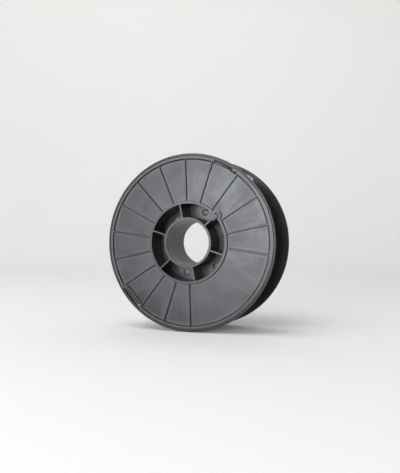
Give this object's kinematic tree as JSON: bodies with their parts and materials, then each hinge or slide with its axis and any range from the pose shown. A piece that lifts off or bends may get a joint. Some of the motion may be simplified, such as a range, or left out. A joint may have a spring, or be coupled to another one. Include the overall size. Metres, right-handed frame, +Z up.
{
  "type": "filament spool",
  "caption": "Empty moulded spool for 3-D printer filament: two ribbed flanges on a hollow hub with a round bore, a filament notch at the hub and clip slots in the rims.",
  "frame": {"origin": "on the bore's axis, halfway between the two outer faces", "axes": "+Y along the bore from the front face to the back face, +Z up with the spool standing on its rims, +X to the right seen from the front"},
  "size_m": [0.2, 0.075, 0.2],
  "materials": {
    "spool_plastic": "black moulded polystyrene with a soft satin sheen and faint flow marks",
    "liner_plastic": "dark brown-grey sleeve, satin",
    "pin_plastic": "black moulded plastic, satin"
  },
  "bodies": {
    "root": {"front_half": "spool_plastic", "back_half": "spool_plastic", "bore_liner": "liner_plastic", "joining_pin_1": "pin_plastic", "joining_pin_2": "pin_plastic", "joining_pin_3": "pin_plastic", "joining_pin_4": "pin_plastic", "joining_pin_5": "pin_plastic", "joining_pin_6": "pin_plastic"}
  },
  "joints": []
}
